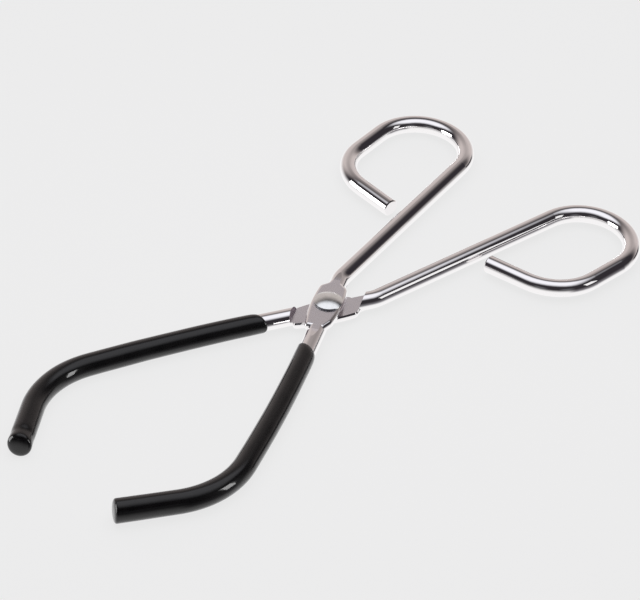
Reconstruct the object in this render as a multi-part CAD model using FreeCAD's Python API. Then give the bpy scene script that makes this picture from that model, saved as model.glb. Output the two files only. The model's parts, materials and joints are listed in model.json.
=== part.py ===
"""Laboratory flask and beaker tongs: two bent rods crossing at a riveted lap joint.

Frame: millimetres, +Z up, the tongs lying on the plane z = 0. +X runs along their axis towards the
finger loops and +Y is to the left of it. The origin is the middle of the footprint.
Both arms are the same forging. The lower arm is the upper one turned over about the tongs' axis.
"""

import FreeCAD
import Part

import math
import os

from FreeCAD import Rotation, Vector

os.makedirs("parts", exist_ok=True)

# ---- Rod ----
ROD_R = 3.25                 # radius of the round rod
END_CHAMFER = 0.4            # on the free end of each finger loop

# ---- Opening of the tongs as modelled ----
JAW_ANGLE = 26.2             # each jaw's direction where the rods cross, from the tongs' axis

# ---- Jaw, from the crossing to the tip ----
JAW_STRAIGHT = 26.0
JAW_BOW_R = 715.0            # the long, slight inward curve
JAW_BOW_ANGLE = 5.2
JAW_BEND_R = 33.5            # the bend that turns the tip inwards
JAW_BEND_ANGLE = 53.6
JAW_TIP = 22.6               # straight length at the tip, coat included

# ---- Handle, from the crossing to the free end ----
HANDLE_ROOT = 16.9           # straight length before the small bend beside the eye
HANDLE_KINK_R = 13.0
HANDLE_KINK_ANGLE = 16.6
HANDLE_SHAFT = 82.4
LOOP_FAR_R = 18.0            # the round far end of the finger loop
LOOP_FAR_ANGLE = 175.5
LOOP_SIDE = 14.2
LOOP_RETURN_R = 18.7         # the bend back towards the shaft
LOOP_RETURN_ANGLE = 77.6
LOOP_END = 17.1

# ---- Lap joint ----
LAP_GAP = 0.10               # between the two seat faces
EYE_T = 2.9                  # thickness of each flat eye
EYE_BACK_ROUND = 1.3         # rounding of the eye's rim on its back
SEAT_BEVEL = (0.4, 0.65)     # legs of the bevel round the seat face
SHOULDER_JAW = 10.1          # lap shoulders at seat level, measured from the other arm's centreline
SHOULDER_HANDLE = 10.8
SHOULDER_DRAFT = 14          # lean of the shoulders
FLAT_START = -15.8           # stretch of rod pressed level with the eye's back
FLAT_END = 13.9
FLAT_RAMP = 4.5              # length over which the pressed flat runs out into the round rod

# ---- Rivet ----
RIVET_AHEAD = 0.7            # the rivet's axis, from the crossing towards the handles
RIVET_R = 2.5
RIVET_RUN = 0.05             # radial running clearance in the upper arm
HEAD_R = 5.15
HEAD_H = 1.9
HEAD_RIM = 0.6               # height of the head's upright rim
HEAD_LIFT = 0.05             # clearance between the head and the upper arm
TAIL_R = 3.9
TAIL_H = 0.9
TAIL_RIM = 0.2

# ---- Dipped coats ----
COAT_R_TOP = 3.75            # outer radius at the crossing, if the vinyl reached that far
COAT_R_TIP = 4.38            # outer radius at the tip, where the vinyl is thickest
COAT_TIP_T = 2.1             # vinyl over the rod's end, at its thickest
COAT_END_LEAN = 7            # the end face leans back at its top, as the last drop sagged
COAT_END_ROUND = 1.3
COAT_START = 23.0            # distance of the dip line from the crossing, along the tongs' axis
COAT_RIM_ROUND = 0.4

# ---- Place in the frame ----
CROSSING_X = 7.53            # the crossing of the rods, ahead of the middle of the footprint
MID_Z = COAT_R_TIP           # the rods' plane above the surface that the tongs lie on
UP = Vector(0, 0, 1)


def walk(heading, steps):
    """Edges of a flat path from the origin: ("line", length) or ("arc", radius, turn), degrees, + is left."""
    point = Vector(0, 0, 0)
    edges = []
    for step in steps:
        ahead = Rotation(UP, heading).multVec(Vector(1, 0, 0))
        if step[0] == "line":
            end = point + ahead * step[1]
            edges.append(Part.LineSegment(point, end).toShape())
        else:
            radius, turn = step[1:]
            side = math.copysign(1, turn)
            centre = point + Rotation(UP, heading + 90 * side).multVec(Vector(radius, 0, 0))
            spoke = point - centre
            middle = centre + Rotation(UP, turn / 2).multVec(spoke)
            end = centre + Rotation(UP, turn).multVec(spoke)
            edges.append(Part.Arc(point, middle, end).toShape())
            heading += turn
        point = end
    return edges


def jaw_path(tip_short=0.0):
    """The jaw's centreline, leaving the crossing towards -X. tip_short is cut off its end."""
    return walk(180, [
        ("line", JAW_STRAIGHT),
        ("arc", JAW_BOW_R, -JAW_BOW_ANGLE),
        ("arc", JAW_BEND_R, -JAW_BEND_ANGLE),
        ("line", JAW_TIP - tip_short),
    ])


def handle_path():
    """The handle's centreline, leaving the crossing towards +X."""
    return walk(0, [
        ("line", HANDLE_ROOT),
        ("arc", HANDLE_KINK_R, -HANDLE_KINK_ANGLE),
        ("line", HANDLE_SHAFT),
        ("arc", LOOP_FAR_R, LOOP_FAR_ANGLE),
        ("line", LOOP_SIDE),
        ("arc", LOOP_RETURN_R, LOOP_RETURN_ANGLE),
        ("line", LOOP_END),
    ])


def start_of(edge):
    return edge.valueAt(edge.FirstParameter)


def end_of(edge):
    return edge.valueAt(edge.LastParameter)


def direction_at_end(edge):
    return edge.tangentAt(edge.LastParameter)


def rod_along(edges, radius):
    """A round bar of one radius along a path."""
    ahead = edges[0].tangentAt(edges[0].FirstParameter)
    profile = Part.Wire(Part.Circle(start_of(edges[0]), ahead, radius).toShape())
    return Part.Wire(edges).makePipeShell([profile], True, False)


def coated_bar(edges, start_r, end_r):
    """A round bar whose radius grows evenly along a path."""
    first = Part.Circle(start_of(edges[0]), edges[0].tangentAt(edges[0].FirstParameter), start_r)
    last = Part.Circle(end_of(edges[-1]), direction_at_end(edges[-1]), end_r)
    shell = Part.BRepOffsetAPI.MakePipeShell(Part.Wire(edges))
    shell.add(Part.Wire(first.toShape()))
    shell.add(Part.Wire(last.toShape()))
    shell.build()
    shell.makeSolid()
    return shell.shape()


def edges_in_plane(solid, point, normal):
    """The solid's edges that lie in a plane."""
    def off_plane(edge):
        samples = [edge.valueAt(edge.FirstParameter), edge.valueAt(edge.LastParameter), edge.CenterOfMass]
        return max(abs(sample.sub(point).dot(normal)) for sample in samples)
    return [edge for edge in solid.Edges if off_plane(edge) < 0.01]


def eye_outline(z):
    """The forged eye in plan, in the arm's own line, +X towards the handle: points and edges at one height."""
    jaw_left = Vector(-14.2, 4.3, z)
    shoulder_left = Vector(9.8, 5.35, z)
    root_left = Vector(12.2, 2.9, z)
    tail_left = Vector(17.5, 1.6, z)
    tail_right = Vector(16.5, -1.6, z)
    root_right = Vector(12.6, -2.3, z)
    shoulder_right = Vector(10.6, -4.75, z)
    neck_right = Vector(-9.8, -4.6, z)
    jaw_right = Vector(-13.8, -2.7, z)
    left_bulge = Vector(-2.0, 5.9, z)
    right_bulge = Vector(1.0, -5.6, z)
    edges = [Part.Arc(jaw_left, left_bulge, shoulder_left).toShape()]
    straight = [shoulder_left, root_left, tail_left, tail_right, root_right, shoulder_right]
    edges += [Part.LineSegment(*pair).toShape() for pair in zip(straight, straight[1:])]
    edges.append(Part.Arc(shoulder_right, right_bulge, neck_right).toShape())
    edges.append(Part.LineSegment(neck_right, jaw_right).toShape())
    edges.append(Part.LineSegment(jaw_right, jaw_left).toShape())
    corner_rounds = [(jaw_left, 0.9), (shoulder_left, 2.2), (root_left, 1.5), (root_right, 1.2),
                     (shoulder_right, 2.4), (neck_right, 3.0)]
    return edges, corner_rounds


def upright_edges_at(solid, corner):
    """The solid's edges that stand upright on a plan point."""
    def beside(edge):
        return max(math.hypot(v.X - corner.x, v.Y - corner.y) for v in edge.Vertexes) < 0.01
    return [edge for edge in solid.Edges if beside(edge)]


def eye_plate():
    """The flat forged eye, in the arm's own line, its seat face down."""
    seat = LAP_GAP / 2
    edges, corner_rounds = eye_outline(seat)
    plate = Part.Face(Part.Wire(edges)).extrude(UP * EYE_T)
    for corner, radius in corner_rounds:
        plate = plate.makeFillet(radius, upright_edges_at(plate, corner))
    plate = plate.makeFillet(EYE_BACK_ROUND, edges_in_plane(plate, Vector(0, 0, seat + EYE_T), UP))
    return plate.makeChamfer(*SEAT_BEVEL, edges_in_plane(plate, Vector(0, 0, seat), UP))


def slab(x0, x1, y0, y1, z0, z1):
    return Part.makeBox(x1 - x0, y1 - y0, z1 - z0, Vector(x0, y0, z0))


def recess_tool():
    """Clears the half of the rod where the other arm's eye lies, between shoulders parallel to that arm."""
    seat = LAP_GAP / 2
    depth = 2 * ROD_R
    lean = (depth + seat) * math.tan(math.radians(SHOULDER_DRAFT))
    length = 60.0
    outline = [
        Vector(0, -SHOULDER_JAW, seat),
        Vector(0, SHOULDER_HANDLE, seat),
        Vector(0, SHOULDER_HANDLE + lean, -depth),
        Vector(0, -SHOULDER_JAW - lean, -depth),
    ]
    tool = Part.Face(Part.makePolygon(outline + outline[:1])).extrude(Vector(length, 0, 0))
    return tool.translated(Vector(-length / 2, 0, 0)).rotated(Vector(), UP, -2 * JAW_ANGLE)


def flat_tool():
    """Presses the back of the rod level with the eye, running out into the round rod at both ends."""
    level = LAP_GAP / 2 + EYE_T
    rise = ROD_R - level
    steep = rise * 2
    outline = [
        Vector(FLAT_START, 0, level),
        Vector(FLAT_END, 0, level),
        Vector(FLAT_END + 2 * FLAT_RAMP, 0, level + steep),
        Vector(FLAT_START - 2 * FLAT_RAMP, 0, level + steep),
    ]
    face = Part.Face(Part.makePolygon(outline + outline[:1]))
    width = 4 * ROD_R
    return face.extrude(Vector(0, width, 0)).translated(Vector(0, -width / 2, 0))


def arm():
    """One arm about the crossing, seat face down, its jaw and handle along its own line."""
    handle = rod_along(handle_path(), ROD_R)
    last = handle_path()[-1]
    handle = handle.makeChamfer(END_CHAMFER, edges_in_plane(handle, end_of(last), direction_at_end(last)))
    jaw = rod_along(jaw_path(COAT_TIP_T), ROD_R)
    rods = handle.fuse(jaw)
    rods = rods.cut([recess_tool(), flat_tool()])
    return rods.fuse(eye_plate()).removeSplitter()


def jaw_coat(lean):
    """The dipped sleeve on one jaw, in the same place as arm(), without the rod's space taken out.

    Its end face leans back by the angle lean at the top, or at the bottom where lean is negative."""
    bar = coated_bar(jaw_path(), COAT_R_TOP, COAT_R_TIP)
    last = jaw_path()[-1]
    ahead = direction_at_end(last)
    foot = end_of(last) - UP * math.copysign(COAT_R_TIP, lean)
    across = UP.cross(ahead)
    face_normal = Rotation(across, -lean).multVec(ahead)
    beyond = Part.makeBox(4 * COAT_R_TIP, 4 * COAT_R_TIP, 4 * COAT_R_TIP)
    beyond.translate(Vector(0, -2 * COAT_R_TIP, -2 * COAT_R_TIP))
    beyond.Placement = FreeCAD.Placement(foot, Rotation(Vector(1, 0, 0), face_normal)) * beyond.Placement
    bar = bar.cut(beyond)
    return bar.makeFillet(COAT_END_ROUND, edges_in_plane(bar, foot, face_normal))


def dip_cut(coat):
    """Ends a coat at the level that the vinyl reached, square to the tongs' axis, with a rounded rim."""
    keep = slab(-400, -COAT_START, -200, 200, -20, 20)
    coat = coat.common(keep)
    rim = edges_in_plane(coat, Vector(-COAT_START, 0, 0), Vector(1, 0, 0))
    return coat.makeFillet(COAT_RIM_ROUND, rim)


def on_upper(shape):
    return shape.rotated(Vector(), UP, JAW_ANGLE)


def turned_over(shape):
    return shape.rotated(Vector(), Vector(1, 0, 0), 180)


def dome(radius, height, rim):
    """A shallow spherical cap on a short upright rim, standing on z = 0."""
    crown = height - rim
    ball_r = (radius ** 2 + crown ** 2) / (2 * crown)
    profile = Part.Wire([
        Part.LineSegment(Vector(0, 0, 0), Vector(radius, 0, 0)).toShape(),
        Part.LineSegment(Vector(radius, 0, 0), Vector(radius, 0, rim)).toShape(),
        Part.Arc(
            Vector(radius, 0, rim),
            Vector(ball_r * math.sin(math.asin(radius / ball_r) / 2), 0,
                   height - ball_r + ball_r * math.cos(math.asin(radius / ball_r) / 2)),
            Vector(0, 0, height),
        ).toShape(),
        Part.LineSegment(Vector(0, 0, height), Vector(0, 0, 0)).toShape(),
    ])
    return Part.Face(profile).revolve(Vector(), UP, 360)


def rivet():
    """Shank, domed head on top and peened tail underneath, in one piece, about its own axis."""
    back = LAP_GAP / 2 + EYE_T
    shank = Part.makeCylinder(RIVET_R, 2 * back + HEAD_LIFT, Vector(0, 0, -back))
    head = dome(HEAD_R, HEAD_H, HEAD_RIM).translated(Vector(0, 0, back + HEAD_LIFT))
    tail = turned_over(dome(TAIL_R, TAIL_H, TAIL_RIM)).translated(Vector(0, 0, -back))
    return shank.fuse([head, tail]).removeSplitter().translated(Vector(RIVET_AHEAD, 0, 0))


def rivet_hole(radius):
    return Part.makeCylinder(radius, 6 * ROD_R, Vector(RIVET_AHEAD, 0, -3 * ROD_R))


def main():
    upper = on_upper(arm())
    lower = turned_over(upper)
    upper_coat = dip_cut(on_upper(jaw_coat(COAT_END_LEAN)))
    lower_coat = turned_over(dip_cut(on_upper(jaw_coat(-COAT_END_LEAN))))
    solids = {
        "upper_arm": upper.cut(rivet_hole(RIVET_R + RIVET_RUN)),
        "lower_arm": lower.cut(rivet_hole(RIVET_R)),
        "pivot_rivet": rivet(),
        "upper_jaw_coat": upper_coat.cut(upper),
        "lower_jaw_coat": lower_coat.cut(lower),
    }
    for name, shape in solids.items():
        placed = shape.Solids[0].translated(Vector(CROSSING_X, 0, MID_Z))
        print(name, "solids", len(shape.Solids), "valid", placed.isValid(), "volume", round(placed.Volume, 1))
        placed.exportStep("parts/" + name + ".step")


main()
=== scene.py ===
"""Looks of the laboratory tongs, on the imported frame. Every object is in metres, in the frame of the CAD."""

import json
import math

import bmesh
import bpy
from mathutils import Matrix, Vector, noise


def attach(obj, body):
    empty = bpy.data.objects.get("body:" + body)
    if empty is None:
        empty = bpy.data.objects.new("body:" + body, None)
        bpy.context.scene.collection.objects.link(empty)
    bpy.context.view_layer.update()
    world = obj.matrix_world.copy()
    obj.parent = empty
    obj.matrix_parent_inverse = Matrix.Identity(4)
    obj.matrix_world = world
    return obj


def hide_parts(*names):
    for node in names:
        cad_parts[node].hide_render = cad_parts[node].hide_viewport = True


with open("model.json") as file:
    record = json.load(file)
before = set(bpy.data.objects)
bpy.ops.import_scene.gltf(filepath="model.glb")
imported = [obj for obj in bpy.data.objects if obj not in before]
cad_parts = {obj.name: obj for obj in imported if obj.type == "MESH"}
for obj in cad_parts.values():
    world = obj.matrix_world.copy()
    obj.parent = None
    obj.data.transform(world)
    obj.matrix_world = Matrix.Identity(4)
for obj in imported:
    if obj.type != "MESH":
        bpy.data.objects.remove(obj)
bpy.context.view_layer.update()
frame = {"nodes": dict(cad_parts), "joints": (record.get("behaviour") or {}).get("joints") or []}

MM = 0.001

# ---- Camera ----
CAMERA_AT = Vector((-0.74611, -0.6257, 0.7765))
CAMERA_FORWARD = Vector((0.60411, 0.50421, -0.61711)).normalized()
CAMERA_UP = Vector((0.43379, 0.44153, 0.78541))
CAMERA_LENS = 196.03
CAMERA_SENSOR = 36
CAMERA_REACH = 20

# ---- Studio, in degrees: heights, and bearings from the direction away from the camera, + to the left ----
# Three numbers are a band's low edge, high edge and softness. Two are where one soft edge starts and ends.
STUDIO_BEARING = math.atan2(CAMERA_FORWARD.y, CAMERA_FORWARD.x)
ROOM = (0.032, 0.028, 0.033)
BACKDROP = (0.60, 0.535, 0.52)
BACKDROP_LEAN = 0.8                  # of its right edge, in degrees of bearing for each degree of height
BACKDROP_RIGHT = (-87, -50)
BACKDROP_LEFT = (35, 77)
BACKDROP_TOP = (20, 65)
TABLE = (0.985, 0.98, 0.985)
TABLE_EDGE = (-30, 14)
TABLE_SHADE = (0.26, 0.25, 0.27)     # where the flag beside the strip light shades it
FLAG_BEARINGS = (-148, -88, 9)
FLAG_HEIGHTS = (-42, -14)
GAP_BEARINGS = (-72, -46, 6)         # the dark room between the table's edge and the backdrop's foot
GAP_HEIGHTS = (-12, 2, 4)
CAMERA_STAND = (0.12, 0.12, 0.13)    # one upright on either side of the camera
STAND_BEARINGS = (146, 166, 7)
STAND_HEIGHTS = (8, 24, 6)
OVERHEAD = (1.0, 1.0, 1.06)
OVERHEAD_HEIGHT = 0.46
OVERHEAD_SIZE = 2
OVERHEAD_NEAR = (-0.84, -0.04)       # the overhead panel's edges, as shares of its height
OVERHEAD_FAR = (0.33, 0.78)
OVERHEAD_SIDES = (-0.78, 0.78, 0.34)
FLOOR_SIZE = 8
FLOOR_ALBEDO = 0.16
FLOOR_GLOW = 0.78

# ---- Steel ----
PIVOT = Vector(frame["joints"][0]["pos_m"])
FLAT_TOP = 3.0 * MM                  # above the rods' plane, between the pressed flats and the rod's top
EDGE = 0.1 * MM                      # over which one finish gives way to the next
LEVEL = (0.975, 0.995)               # of a normal's upright part, from which a face counts as level
FACING = (0.86, 0.94)                # of a normal along the lap shoulders, from which a face counts as a wall
LAP_REACH = (15 * MM, 18 * MM)       # how far from the pivot the lap's walls are painted darker as shade
SEAT_REACH = (8 * MM, 9 * MM)        # and its seats, painted with the other eye's shade and reflection
SEAT_HEIGHT = (0.2 * MM, 0.4 * MM)   # how far from the joint's plane a face is still a seat
PLATE = (0.93, 0.915, 0.915)
SATIN_LIGHT = (0.95, 0.95, 1.0)
SATIN_DARK = (0.91, 0.905, 0.955)
# painted shade on the lap's walls near the pivot, and the roughness given there
LAP_SHADE = (0.34, 0.29, 0.33)
LAP_SHADE_ROUGH = 0.35
# painted shade and reflection of the other eye's side wall on the seat face
SEAT_SHADE_AND_REFLECTION = (0.52, 0.49, 0.52)
COVER_ANGLE = math.radians(37.6)     # the edge of the painted shade and reflection of the other eye on each seat face
COVER_EDGE = 5.6 * MM
SCRATCHES = ((0.5, 1500), (-1.0, 1300))      # direction in radians and scale of each set
SCRATCH_STRETCH = 0.06
SCRATCH_WIDTH = 0.012
SCRATCH_ROUGH = 0.10
RIVET_LIGHT = (0.87, 0.885, 0.88)
RIVET_DARK = (0.79, 0.81, 0.79)

# ---- Vinyl ----
VINYL_BLACK = (0.0018, 0.0018, 0.0022)
VINYL_GREY = (0.0042, 0.0036, 0.004)

# ---- Jaws and their dipped coats, in millimetres, as the arms were drawn ----
SIDE = {"lower": -1, "upper": 1}     # the lower arm is the upper one turned over
RIVET_AHEAD = 0.7                    # the rivet's axis, from the rods' crossing towards the handles
CROSSING = PIVOT - Vector((RIVET_AHEAD * MM, 0, 0))
JAW_ANGLE = 26.2
JAW_STEPS = (                        # length and turn in degrees of each stretch, from the crossing
    (26.0, 0),
    (715.0 * math.radians(5.2), -5.2),
    (33.5 * math.radians(53.6), -53.6),
    (22.45, 0),
)
JAW_LENGTH = sum(length for length, turn in JAW_STEPS)
COAT_START = 23.0                    # the dip line, from the crossing along the tongs' axis
COAT_R_TOP = 3.75
COAT_R_TIP = 4.38
COAT_TIP_T = 1.95                    # vinyl over the rod's end, at its thickest
BORE_R = 3.26                        # just clear of the rod
BORE_BACK = 0.5                      # the bore stops short of the rod's end, inside the rod
BORE_END = JAW_LENGTH - COAT_TIP_T - BORE_BACK
RIM_DEPTH = 2.6                      # over which the dip line's edge rounds off, more on one side
RIM_BIAS = 0.6
LEAN_LENGTH = 14.0                   # over which the rings turn from the dip line's slant to square
RUN_DEPTH = 0.10                     # slow unevenness of the skin
RUN_LENGTH = 11.0
RUN_SEED = {"lower": 8.7, "upper": 3.1}
WAIST_BACK = 5.6                     # the slack waist on top, behind the bead of vinyl at the tip
WAIST_LENGTH = 2.0
WAIST_DEPTH = {"lower": 0.22, "upper": 0.03}
CAP_DEPTH = {"lower": 2.2, "upper": 1.4}     # the rounded tip
CAP_POWER = {"lower": 0.8, "upper": 0.6}     # a lower power squares its outline
END_BACK = {"lower": 0.15, "upper": 0.06}    # slope of the end face, back at the top, from the sag
END_ASIDE = {"lower": 0.03, "upper": -0.05}  # and back at the jaw's outer side
SAG_LENGTH = 7.0                     # over which the rings take up those slopes
AROUND = 64
BORE_SPACING = 3.0
SKIN_SPACING = 0.8
RIM_RINGS = 8
CAP_RINGS = 14


class Graph:
    """Short calls for building a node tree. A socket or a plain value is given wherever a node takes one."""

    def __init__(self, tree):
        self.tree = tree

    def node(self, kind, **settings):
        made = self.tree.nodes.new(kind)
        for name, value in settings.items():
            setattr(made, name, value)
        return made

    def put(self, socket, value):
        if isinstance(value, bpy.types.NodeSocket):
            self.tree.links.new(value, socket)
        else:
            socket.default_value = value

    def math(self, operation, *values):
        made = self.node("ShaderNodeMath", operation=operation)
        for socket, value in zip(made.inputs, values):
            self.put(socket, value)
        return made.outputs[0]

    def vector(self, operation, result, *values):
        made = self.node("ShaderNodeVectorMath", operation=operation)
        for socket, value in zip(made.inputs, values):
            self.put(socket, value)
        return made.outputs[result]

    def split(self, vector):
        made = self.node("ShaderNodeSeparateXYZ")
        self.put(made.inputs[0], vector)
        return made.outputs

    def ramp(self, value, low, high, out_low=0.0, out_high=1.0):
        """A smooth change from out_low to out_high as value goes from low to high."""
        made = self.node("ShaderNodeMapRange", interpolation_type="SMOOTHSTEP")
        for socket, item in zip(made.inputs, (value, low, high, out_low, out_high)):
            self.put(socket, item)
        return made.outputs[0]

    def band(self, value, low, high, soft):
        """1 between low and high, fading over soft on either side of each."""
        rise = self.ramp(value, low - soft, low + soft)
        fall = self.ramp(value, high - soft, high + soft, 1.0, 0.0)
        return self.math("MULTIPLY", rise, fall)

    def mix(self, share, a, b):
        made = self.node("ShaderNodeMix", data_type="RGBA")
        self.put(made.inputs[0], share)
        for socket, value in ((made.inputs[6], a), (made.inputs[7], b)):
            self.put(socket, (*value, 1.0) if isinstance(value, tuple) and len(value) == 3 else value)
        return made.outputs[2]

    def noise(self, place, scale, detail=2.0, roughness=0.5):
        made = self.node("ShaderNodeTexNoise")
        self.put(made.inputs["Vector"], place)
        made.inputs["Scale"].default_value = scale
        made.inputs["Detail"].default_value = detail
        made.inputs["Roughness"].default_value = roughness
        return made.outputs["Fac"]


def new_material(name):
    material = bpy.data.materials.new(name)
    material.use_nodes = True
    return material, Graph(material.node_tree), material.node_tree.nodes["Principled BSDF"]


def make_camera():
    right = CAMERA_FORWARD.cross(CAMERA_UP).normalized()
    up = right.cross(CAMERA_FORWARD)
    rotation = Matrix((right, up, -CAMERA_FORWARD)).transposed()
    data = bpy.data.cameras.new("camera")
    data.lens = CAMERA_LENS
    data.sensor_width = CAMERA_SENSOR
    data.clip_end = CAMERA_REACH
    camera = bpy.data.objects.new("camera", data)
    camera.matrix_world = Matrix.Translation(CAMERA_AT) @ rotation.to_4x4()
    bpy.context.scene.collection.objects.link(camera)
    bpy.context.scene.camera = camera


def make_world():
    """A dark room, seen in the steel, with a pale backdrop and a glowing white table.

    A flag shades the table beside the strip light, and a gap of dark room parts it from the backdrop."""
    world = bpy.data.worlds.new("studio")
    world.use_nodes = True
    graph = Graph(world.node_tree)
    turned = graph.node("ShaderNodeVectorRotate", rotation_type="Z_AXIS")
    graph.put(turned.inputs["Vector"], graph.node("ShaderNodeTexCoord").outputs["Generated"])
    turned.inputs["Angle"].default_value = -STUDIO_BEARING
    ahead, left, up = graph.split(turned.outputs[0])
    bearing = graph.math("DEGREES", graph.math("ARCTAN2", left, ahead))
    height = graph.math("DEGREES", graph.math("ARCSINE", up))
    aside = graph.math("ABSOLUTE", bearing)

    stand = graph.math("MULTIPLY", graph.band(aside, *STAND_BEARINGS), graph.band(height, *STAND_HEIGHTS))
    color = graph.mix(stand, ROOM, CAMERA_STAND)
    leaning = graph.math("SUBTRACT", bearing, graph.math("MULTIPLY", height, BACKDROP_LEAN))
    sides = graph.math("MULTIPLY", graph.ramp(leaning, *BACKDROP_RIGHT),
                       graph.ramp(bearing, *BACKDROP_LEFT, 1, 0))
    backdrop = graph.math("MULTIPLY", sides, graph.ramp(height, *BACKDROP_TOP, 1, 0))
    color = graph.mix(backdrop, color, BACKDROP)
    flag = graph.math("MULTIPLY", graph.band(bearing, *FLAG_BEARINGS), graph.ramp(height, *FLAG_HEIGHTS))
    table = graph.mix(flag, TABLE, TABLE_SHADE)
    color = graph.mix(graph.ramp(height, *TABLE_EDGE, 1, 0), color, table)
    gap = graph.math("MULTIPLY", graph.band(bearing, *GAP_BEARINGS), graph.band(height, *GAP_HEIGHTS))
    color = graph.mix(gap, color, ROOM)
    graph.put(world.node_tree.nodes["Background"].inputs["Color"], color)
    bpy.context.scene.world = world
    bpy.context.scene.view_settings.view_transform = "Standard"
    bpy.context.scene.cycles.caustics_reflective = False


def make_overhead():
    """A soft-edged glowing panel above the tongs, near enough for its reflection to shift along them."""
    bpy.ops.mesh.primitive_plane_add(size=OVERHEAD_SIZE)
    panel = bpy.context.object
    panel.name = "overhead_panel"
    panel.location = (0, 0, OVERHEAD_HEIGHT)
    panel.rotation_euler = (0, 0, STUDIO_BEARING)
    material = bpy.data.materials.new("overhead_glow")
    material.use_nodes = True
    graph = Graph(material.node_tree)
    place = graph.split(graph.node("ShaderNodeTexCoord").outputs["Object"])
    ahead = graph.math("DIVIDE", place[0], OVERHEAD_HEIGHT)
    left = graph.math("DIVIDE", place[1], OVERHEAD_HEIGHT)
    depth = graph.math("MULTIPLY", graph.ramp(ahead, *OVERHEAD_NEAR),
                       graph.ramp(ahead, *OVERHEAD_FAR, 1, 0))
    shape = graph.math("MULTIPLY", depth, graph.band(left, *OVERHEAD_SIDES))
    glow = graph.node("ShaderNodeEmission")
    glow.inputs["Color"].default_value = (*OVERHEAD, 1)
    clear = graph.node("ShaderNodeBsdfTransparent")
    blend = graph.node("ShaderNodeMixShader")
    for socket, value in zip(blend.inputs, (shape, clear.outputs[0], glow.outputs[0])):
        graph.put(socket, value)
    graph.put(material.node_tree.nodes["Material Output"].inputs["Surface"], blend.outputs[0])
    panel.data.materials.append(material)
    panel.visible_camera = False
    panel.visible_shadow = False


def make_softbox(name, place, aim, width, height, radiance, only_on=None):
    """A panel light that shows in reflections only, so that it casts no hard shadow on the table."""
    data = bpy.data.lights.new(name, "AREA")
    data.shape = "RECTANGLE"
    data.size = width
    data.size_y = height
    data.energy = radiance * width * height * math.pi
    light = bpy.data.objects.new(name, data)
    light.location = place
    light.rotation_euler = (Vector(aim) - Vector(place)).to_track_quat("-Z", "Y").to_euler()
    light.visible_diffuse = False
    light.visible_camera = False
    bpy.context.scene.collection.objects.link(light)
    if only_on:
        light.light_linking.receiver_collection = only_on


def make_floor():
    bpy.ops.mesh.primitive_plane_add(size=FLOOR_SIZE)
    floor = bpy.context.object
    floor.name = "floor"
    material = bpy.data.materials.new("white_table")
    material.use_nodes = True
    shader = material.node_tree.nodes["Principled BSDF"]
    shader.inputs["Base Color"].default_value = (FLOOR_ALBEDO, FLOOR_ALBEDO, FLOOR_ALBEDO, 1)
    shader.inputs["Roughness"].default_value = 1
    shader.inputs["Specular IOR Level"].default_value = 0
    shader.inputs["Emission Color"].default_value = (1, 1, 1, 1)
    shader.inputs["Emission Strength"].default_value = FLOOR_GLOW
    floor.data.materials.append(material)
    floor.visible_glossy = False


def bumped(graph, shader, height, depth):
    """Gives the shader a bump of the given depth in metres, and returns its normal."""
    bump = graph.node("ShaderNodeBump")
    bump.inputs["Distance"].default_value = depth
    bump.inputs["Strength"].default_value = 1
    graph.put(bump.inputs["Height"], height)
    graph.put(shader.inputs["Normal"], bump.outputs[0])
    return bump.outputs[0]


def scratches(graph, place, turn, scale):
    """Thin scattered lines: where a stretched noise passes through its middle value, broken up by another."""
    mapping = graph.node("ShaderNodeMapping")
    mapping.inputs["Rotation"].default_value = (0, 0, turn)
    mapping.inputs["Scale"].default_value = (SCRATCH_STRETCH, 1, 1)
    graph.put(mapping.inputs["Vector"], place)
    field = graph.noise(mapping.outputs[0], scale, detail=1)
    off_middle = graph.math("ABSOLUTE", graph.math("SUBTRACT", field, 0.5))
    line = graph.ramp(off_middle, 0.0, SCRATCH_WIDTH, 1, 0)
    return graph.math("MULTIPLY", line, graph.ramp(graph.noise(place, 160, detail=1), 0.52, 0.62))


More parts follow.
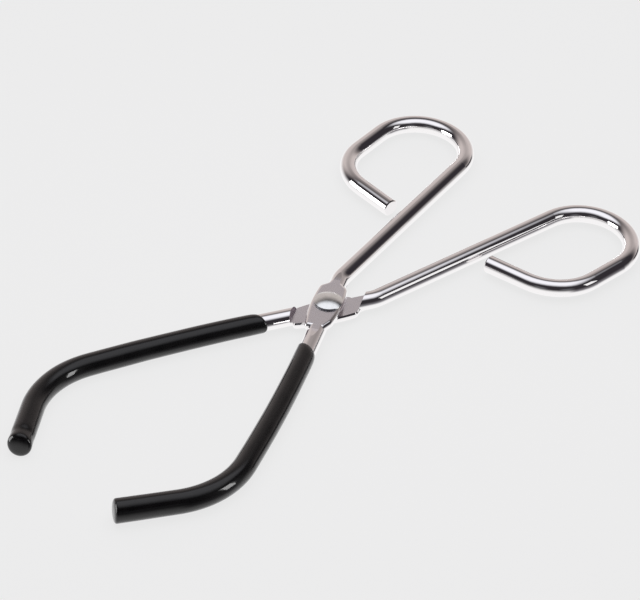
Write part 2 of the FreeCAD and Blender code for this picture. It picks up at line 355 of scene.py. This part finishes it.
def plated_steel(body):
    """Bright nickel-chrome plate: mirror on the rod and satin on the pressed flats.

    It is painted darker as shade in the lap's corners, and painted with the other eye's shade and reflection
    on the seat face where that eye covers it. The lap shoulders of the two arms lean opposite ways."""
    side = SIDE[body]
    material, graph, shader = new_material("plated_steel_" + body)
    coordinates = graph.node("ShaderNodeTexCoord")
    place = coordinates.outputs["Object"]
    normal = graph.split(coordinates.outputs["Normal"])
    spot = graph.split(place)
    off_plane = graph.math("ABSOLUTE", graph.math("SUBTRACT", spot[2], PIVOT.z))
    level = graph.ramp(graph.math("ABSOLUTE", normal[2]), *LEVEL)
    flat = graph.math("MULTIPLY", level, graph.ramp(off_plane, FLAT_TOP, FLAT_TOP + EDGE, 1, 0))

    away = graph.vector("DISTANCE", "Value", place, PIVOT)
    # The lap's walls near the pivot, painted darker as shade.
    across = graph.math("MULTIPLY", normal[0], math.sin(math.radians(JAW_ANGLE)))
    along = graph.math("MULTIPLY", normal[1], side * math.cos(math.radians(JAW_ANGLE)))
    facing = graph.math("ABSOLUTE", graph.math("ADD", across, along))
    past_seat = graph.math("MULTIPLY", graph.math("SUBTRACT", PIVOT.z, spot[2]), side)
    inside = graph.math("MULTIPLY", graph.ramp(away, *LAP_REACH, 1, 0), graph.ramp(past_seat, 0.0, EDGE))
    wall = graph.math("MULTIPLY", inside, graph.ramp(facing, *FACING))

    # The seat face along the other eye, painted with that eye's shade and reflection.
    from_pivot = graph.vector("SUBTRACT", "Vector", place, PIVOT)
    towards_edge = Vector((math.sin(COVER_ANGLE), side * math.cos(COVER_ANGLE), 0))
    covered = graph.vector("DOT_PRODUCT", "Value", from_pivot, towards_edge)
    under = graph.math("MULTIPLY", graph.ramp(covered, 0, COVER_EDGE / 2),
                       graph.ramp(covered, COVER_EDGE - EDGE, COVER_EDGE + EDGE, 1, 0))
    on_seat = graph.math("MULTIPLY", level, graph.ramp(off_plane, *SEAT_HEIGHT, 1, 0))
    seat_shade = graph.math("MULTIPLY", graph.math("MULTIPLY", under, on_seat),
                      graph.ramp(away, *SEAT_REACH, 1, 0))

    cloud = graph.noise(place, 320, detail=3, roughness=0.6)
    grain = graph.noise(place, 2600, detail=2, roughness=0.6)
    satin = graph.mix(graph.ramp(cloud, 0.35, 0.68), SATIN_LIGHT, SATIN_DARK)
    color = graph.mix(flat, PLATE, satin)
    color = graph.mix(seat_shade, color, SEAT_SHADE_AND_REFLECTION)
    color = graph.mix(wall, color, LAP_SHADE)
    graph.put(shader.inputs["Base Color"], color)
    shader.inputs["Metallic"].default_value = 1

    smudge = graph.ramp(graph.noise(place, 75, detail=4, roughness=0.65), 0.42, 0.70, 0.018, 0.075)
    lines = graph.math("MAXIMUM", *(scratches(graph, place, turn, scale) for turn, scale in SCRATCHES))
    mirror_rough = graph.math("ADD", smudge, graph.math("MULTIPLY", lines, SCRATCH_ROUGH))
    satin_rough = graph.ramp(cloud, 0.3, 0.7, 0.17, 0.29)
    rough = graph.math("ADD", graph.math("MULTIPLY", mirror_rough, graph.math("SUBTRACT", 1.0, flat)),
                       graph.math("MULTIPLY", satin_rough, flat))
    rough = graph.math("ADD", rough, graph.math("MULTIPLY", wall, LAP_SHADE_ROUGH))
    graph.put(shader.inputs["Roughness"], rough)

    ripple = graph.math("MULTIPLY", graph.noise(place, 190, detail=1), 0.5)
    pressed = graph.math("MULTIPLY", graph.math("ADD", graph.math("MULTIPLY", grain, 0.02), cloud), flat)
    bumped(graph, shader, graph.math("ADD", ripple, graph.math("MULTIPLY", pressed, 0.18)), 0.03 * MM)
    return material


def rivet_steel():
    """Plated dome with the faint rings that the riveting tool left on it."""
    material, graph, shader = new_material("rivet_steel")
    place = graph.node("ShaderNodeTexCoord").outputs["Object"]
    spot = graph.split(place)
    off_axis = graph.math("SUBTRACT", spot[0], PIVOT.x)
    radius = graph.math("SQRT", graph.math("ADD", graph.math("POWER", off_axis, 2.0),
                                           graph.math("POWER", spot[1], 2.0)))
    ring_place = graph.node("ShaderNodeCombineXYZ")
    graph.put(ring_place.inputs[0], radius)
    rings = graph.noise(ring_place.outputs[0], 4200, detail=2)
    cloud = graph.noise(place, 420, detail=3, roughness=0.6)
    graph.put(shader.inputs["Base Color"], graph.mix(graph.ramp(cloud, 0.35, 0.7), RIVET_LIGHT, RIVET_DARK))
    shader.inputs["Metallic"].default_value = 1
    graph.put(shader.inputs["Roughness"], graph.ramp(graph.math("ADD", cloud, rings), 0.7, 1.3, 0.10, 0.20))
    bumped(graph, shader, graph.math("ADD", rings, cloud), 0.006 * MM)
    return material


def vinyl():
    """Dipped black vinyl: a clear glossy skin over a slightly hazy body, with orange peel and a few nicks."""
    material, graph, shader = new_material("black_vinyl")
    place = graph.node("ShaderNodeTexCoord").outputs["Object"]
    cloud = graph.noise(place, 130, detail=4, roughness=0.6)
    graph.put(shader.inputs["Base Color"], graph.mix(graph.ramp(cloud, 0.35, 0.7), VINYL_BLACK, VINYL_GREY))
    shader.inputs["Specular IOR Level"].default_value = 0.1
    shader.inputs["Coat Weight"].default_value = 1
    shader.inputs["Coat Roughness"].default_value = 0.04
    shader.inputs["Coat IOR"].default_value = 1.46
    graph.put(shader.inputs["Roughness"], graph.ramp(cloud, 0.3, 0.7, 0.38, 0.55))
    peel = graph.noise(place, 700, detail=2, roughness=0.5)
    cells = graph.node("ShaderNodeTexVoronoi")
    graph.put(cells.inputs["Vector"], place)
    cells.inputs["Scale"].default_value = 170
    nick = graph.ramp(cells.outputs["Distance"], 0.02, 0.07, -1.0, 0.0)
    nick = graph.math("MULTIPLY", nick, graph.ramp(graph.noise(place, 55, detail=1), 0.56, 0.60))
    height = graph.math("ADD", graph.math("MULTIPLY", peel, 0.15), graph.math("ADD", cloud, nick))
    graph.put(shader.inputs["Coat Normal"], bumped(graph, shader, height, 0.035 * MM))
    return material


def jaw_at(distance):
    """Place and heading on a jaw's centreline in the rods' plane, in millimetres about the crossing."""
    place = Vector((0, 0))
    heading = math.radians(180 + JAW_ANGLE)
    for length, turn in JAW_STEPS:
        part = min(distance, length)
        curve = math.radians(turn) / length
        if turn:
            end = heading + curve * part
            bend = Vector((math.sin(end) - math.sin(heading), math.cos(heading) - math.cos(end)))
            place = place + bend / curve
            heading = end
        else:
            place = place + part * Vector((math.cos(heading), math.sin(heading)))
        distance -= part
    return place, heading


def skin_radius(body, distance, angle):
    """Outer radius of the dipped coat: it swells towards the tip, with runs and a slack waist on top."""
    swell = COAT_R_TOP + (COAT_R_TIP - COAT_R_TOP) * min(distance, JAW_LENGTH) / JAW_LENGTH
    spot = Vector((distance / RUN_LENGTH + RUN_SEED[body], math.cos(angle), math.sin(angle)))
    run = RUN_DEPTH * (0.5 + 0.5 * noise.noise(spot))
    waist = math.exp(-((JAW_LENGTH - distance - WAIST_BACK) / WAIST_LENGTH) ** 2)
    return swell - run - WAIST_DEPTH[body] * waist * (0.5 + 0.5 * SIDE[body] * math.sin(angle))


def steps_between(first, last, spacing):
    count = max(1, round(abs(last - first) / spacing))
    return [first + (last - first) * step / count for step in range(count + 1)]


def coat_rings(body):
    """Rings of the closed sleeve, from the rod's end back through the bore, over the dip line and to the tip.

    Each is (lean, sag, shape): shape gives the distance along the jaw and the radius at an angle."""
    dip = COAT_START / math.cos(math.radians(JAW_ANGLE))
    cap_start = JAW_LENGTH - CAP_DEPTH[body]

    def lean_at(distance):
        return min(1.0, max(0.0, 1 - (distance - dip) / LEAN_LENGTH))

    rings = []
    for at in steps_between(BORE_END, dip, BORE_SPACING):
        rings.append((lean_at(at), 0, lambda angle, at=at: (at, BORE_R)))
    for step in range(1, RIM_RINGS):
        turn = math.pi / 2 * step / RIM_RINGS

        def rim(angle, turn=turn):
            at = dip + RIM_DEPTH * (1 + RIM_BIAS * math.cos(angle)) * (1 - math.cos(turn))
            return at, BORE_R + math.sin(turn) * (skin_radius(body, at, angle) - BORE_R)
        rings.append((1, 0, rim))
    for at in steps_between(dip + RIM_DEPTH * (1 + RIM_BIAS), cap_start, SKIN_SPACING):
        sag = max(0.0, 1 - (cap_start - at) / SAG_LENGTH)
        rings.append((lean_at(at), sag, lambda angle, at=at: (at, skin_radius(body, at, angle))))
    for step in range(1, CAP_RINGS):
        turn = math.pi / 2 * (1 - step / CAP_RINGS)

        def cap(angle, turn=turn):
            at = cap_start + CAP_DEPTH[body] * math.cos(turn) ** CAP_POWER[body]
            return at, skin_radius(body, cap_start, angle) * math.sin(turn) ** CAP_POWER[body]
        rings.append((0, 1, cap))
    return rings


def coat_point(body, distance, lean, sag, radius, angle):
    """A point of the coat in metres.

    lean 1 turns its ring square to the tongs' axis, and sag 1 slopes it as the end face."""
    side = SIDE[body]
    height = side * radius * math.sin(angle)
    aside = radius * math.cos(angle)
    back = (END_BACK[body] * (height + COAT_R_TIP) + END_ASIDE[body] * aside
            + abs(END_ASIDE[body]) * COAT_R_TIP)
    place, heading = jaw_at(distance - sag * back)
    ahead = Vector((math.cos(heading), math.sin(heading)))
    left = Vector((-ahead.y, ahead.x))
    place = place + aside * left - lean * aside * left.x / ahead.x * ahead
    return CROSSING + MM * Vector((place.x, side * place.y, height))


def jaw_coat(body, material):
    """The dipped sleeve of one jaw as one closed mesh with a bore for the rod."""
    mesh = bmesh.new()
    angles = [2 * math.pi * index / AROUND for index in range(AROUND)]
    rows = []
    for lean, sag, shape in coat_rings(body):
        points = []
        for angle in angles:
            distance, radius = shape(angle)
            points.append(coat_point(body, distance, lean, sag, radius, angle))
        rows.append([mesh.verts.new(point) for point in points])
    start = mesh.verts.new(coat_point(body, BORE_END, 0, 0, 0, 0))
    end = mesh.verts.new(coat_point(body, JAW_LENGTH, 0, 1, 0, 0))
    for index in range(AROUND):
        after = (index + 1) % AROUND
        mesh.faces.new((start, rows[0][index], rows[0][after]))
        mesh.faces.new((end, rows[-1][after], rows[-1][index]))
        for row, following in zip(rows, rows[1:]):
            mesh.faces.new((row[index], following[index], following[after], row[after]))
    bmesh.ops.recalc_face_normals(mesh, faces=mesh.faces)
    for face in mesh.faces:
        face.smooth = True
    data = bpy.data.meshes.new(body + "_dipped_coat")
    mesh.to_mesh(data)
    mesh.free()
    coat = bpy.data.objects.new(body + "_dipped_coat", data)
    bpy.context.scene.collection.objects.link(coat)
    coat.data.materials.append(material)
    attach(coat, body)
    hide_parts(body + "_jaw_coat")
    return coat


def finish_node(name, material):
    node = frame["nodes"][name]
    node.data.materials.clear()
    node.data.materials.append(material)


make_camera()
make_world()
make_floor()
make_overhead()
for body in ("upper", "lower"):
    finish_node(body + "_arm", plated_steel(body))
finish_node("pivot_rivet", rivet_steel())
black = vinyl()
coats = bpy.data.collections.new("coats")
for body in ("upper", "lower"):
    coats.objects.link(jaw_coat(body, black))

make_softbox("strip_glow", place=(0.33, -0.73, 0.345), aim=(0, 0, 0.1),
             width=0.25, height=0.31, radiance=0.95)
make_softbox("strip_lamp", place=(0.33, -0.73, 0.26), aim=(-0.08, 0, 0),
             width=0.17, height=0.42, radiance=6.6, only_on=coats)
make_softbox("box_left", place=(-0.71, 0.71, 0.12), aim=(0, 0, 0),
             width=0.65, height=0.60, radiance=5)
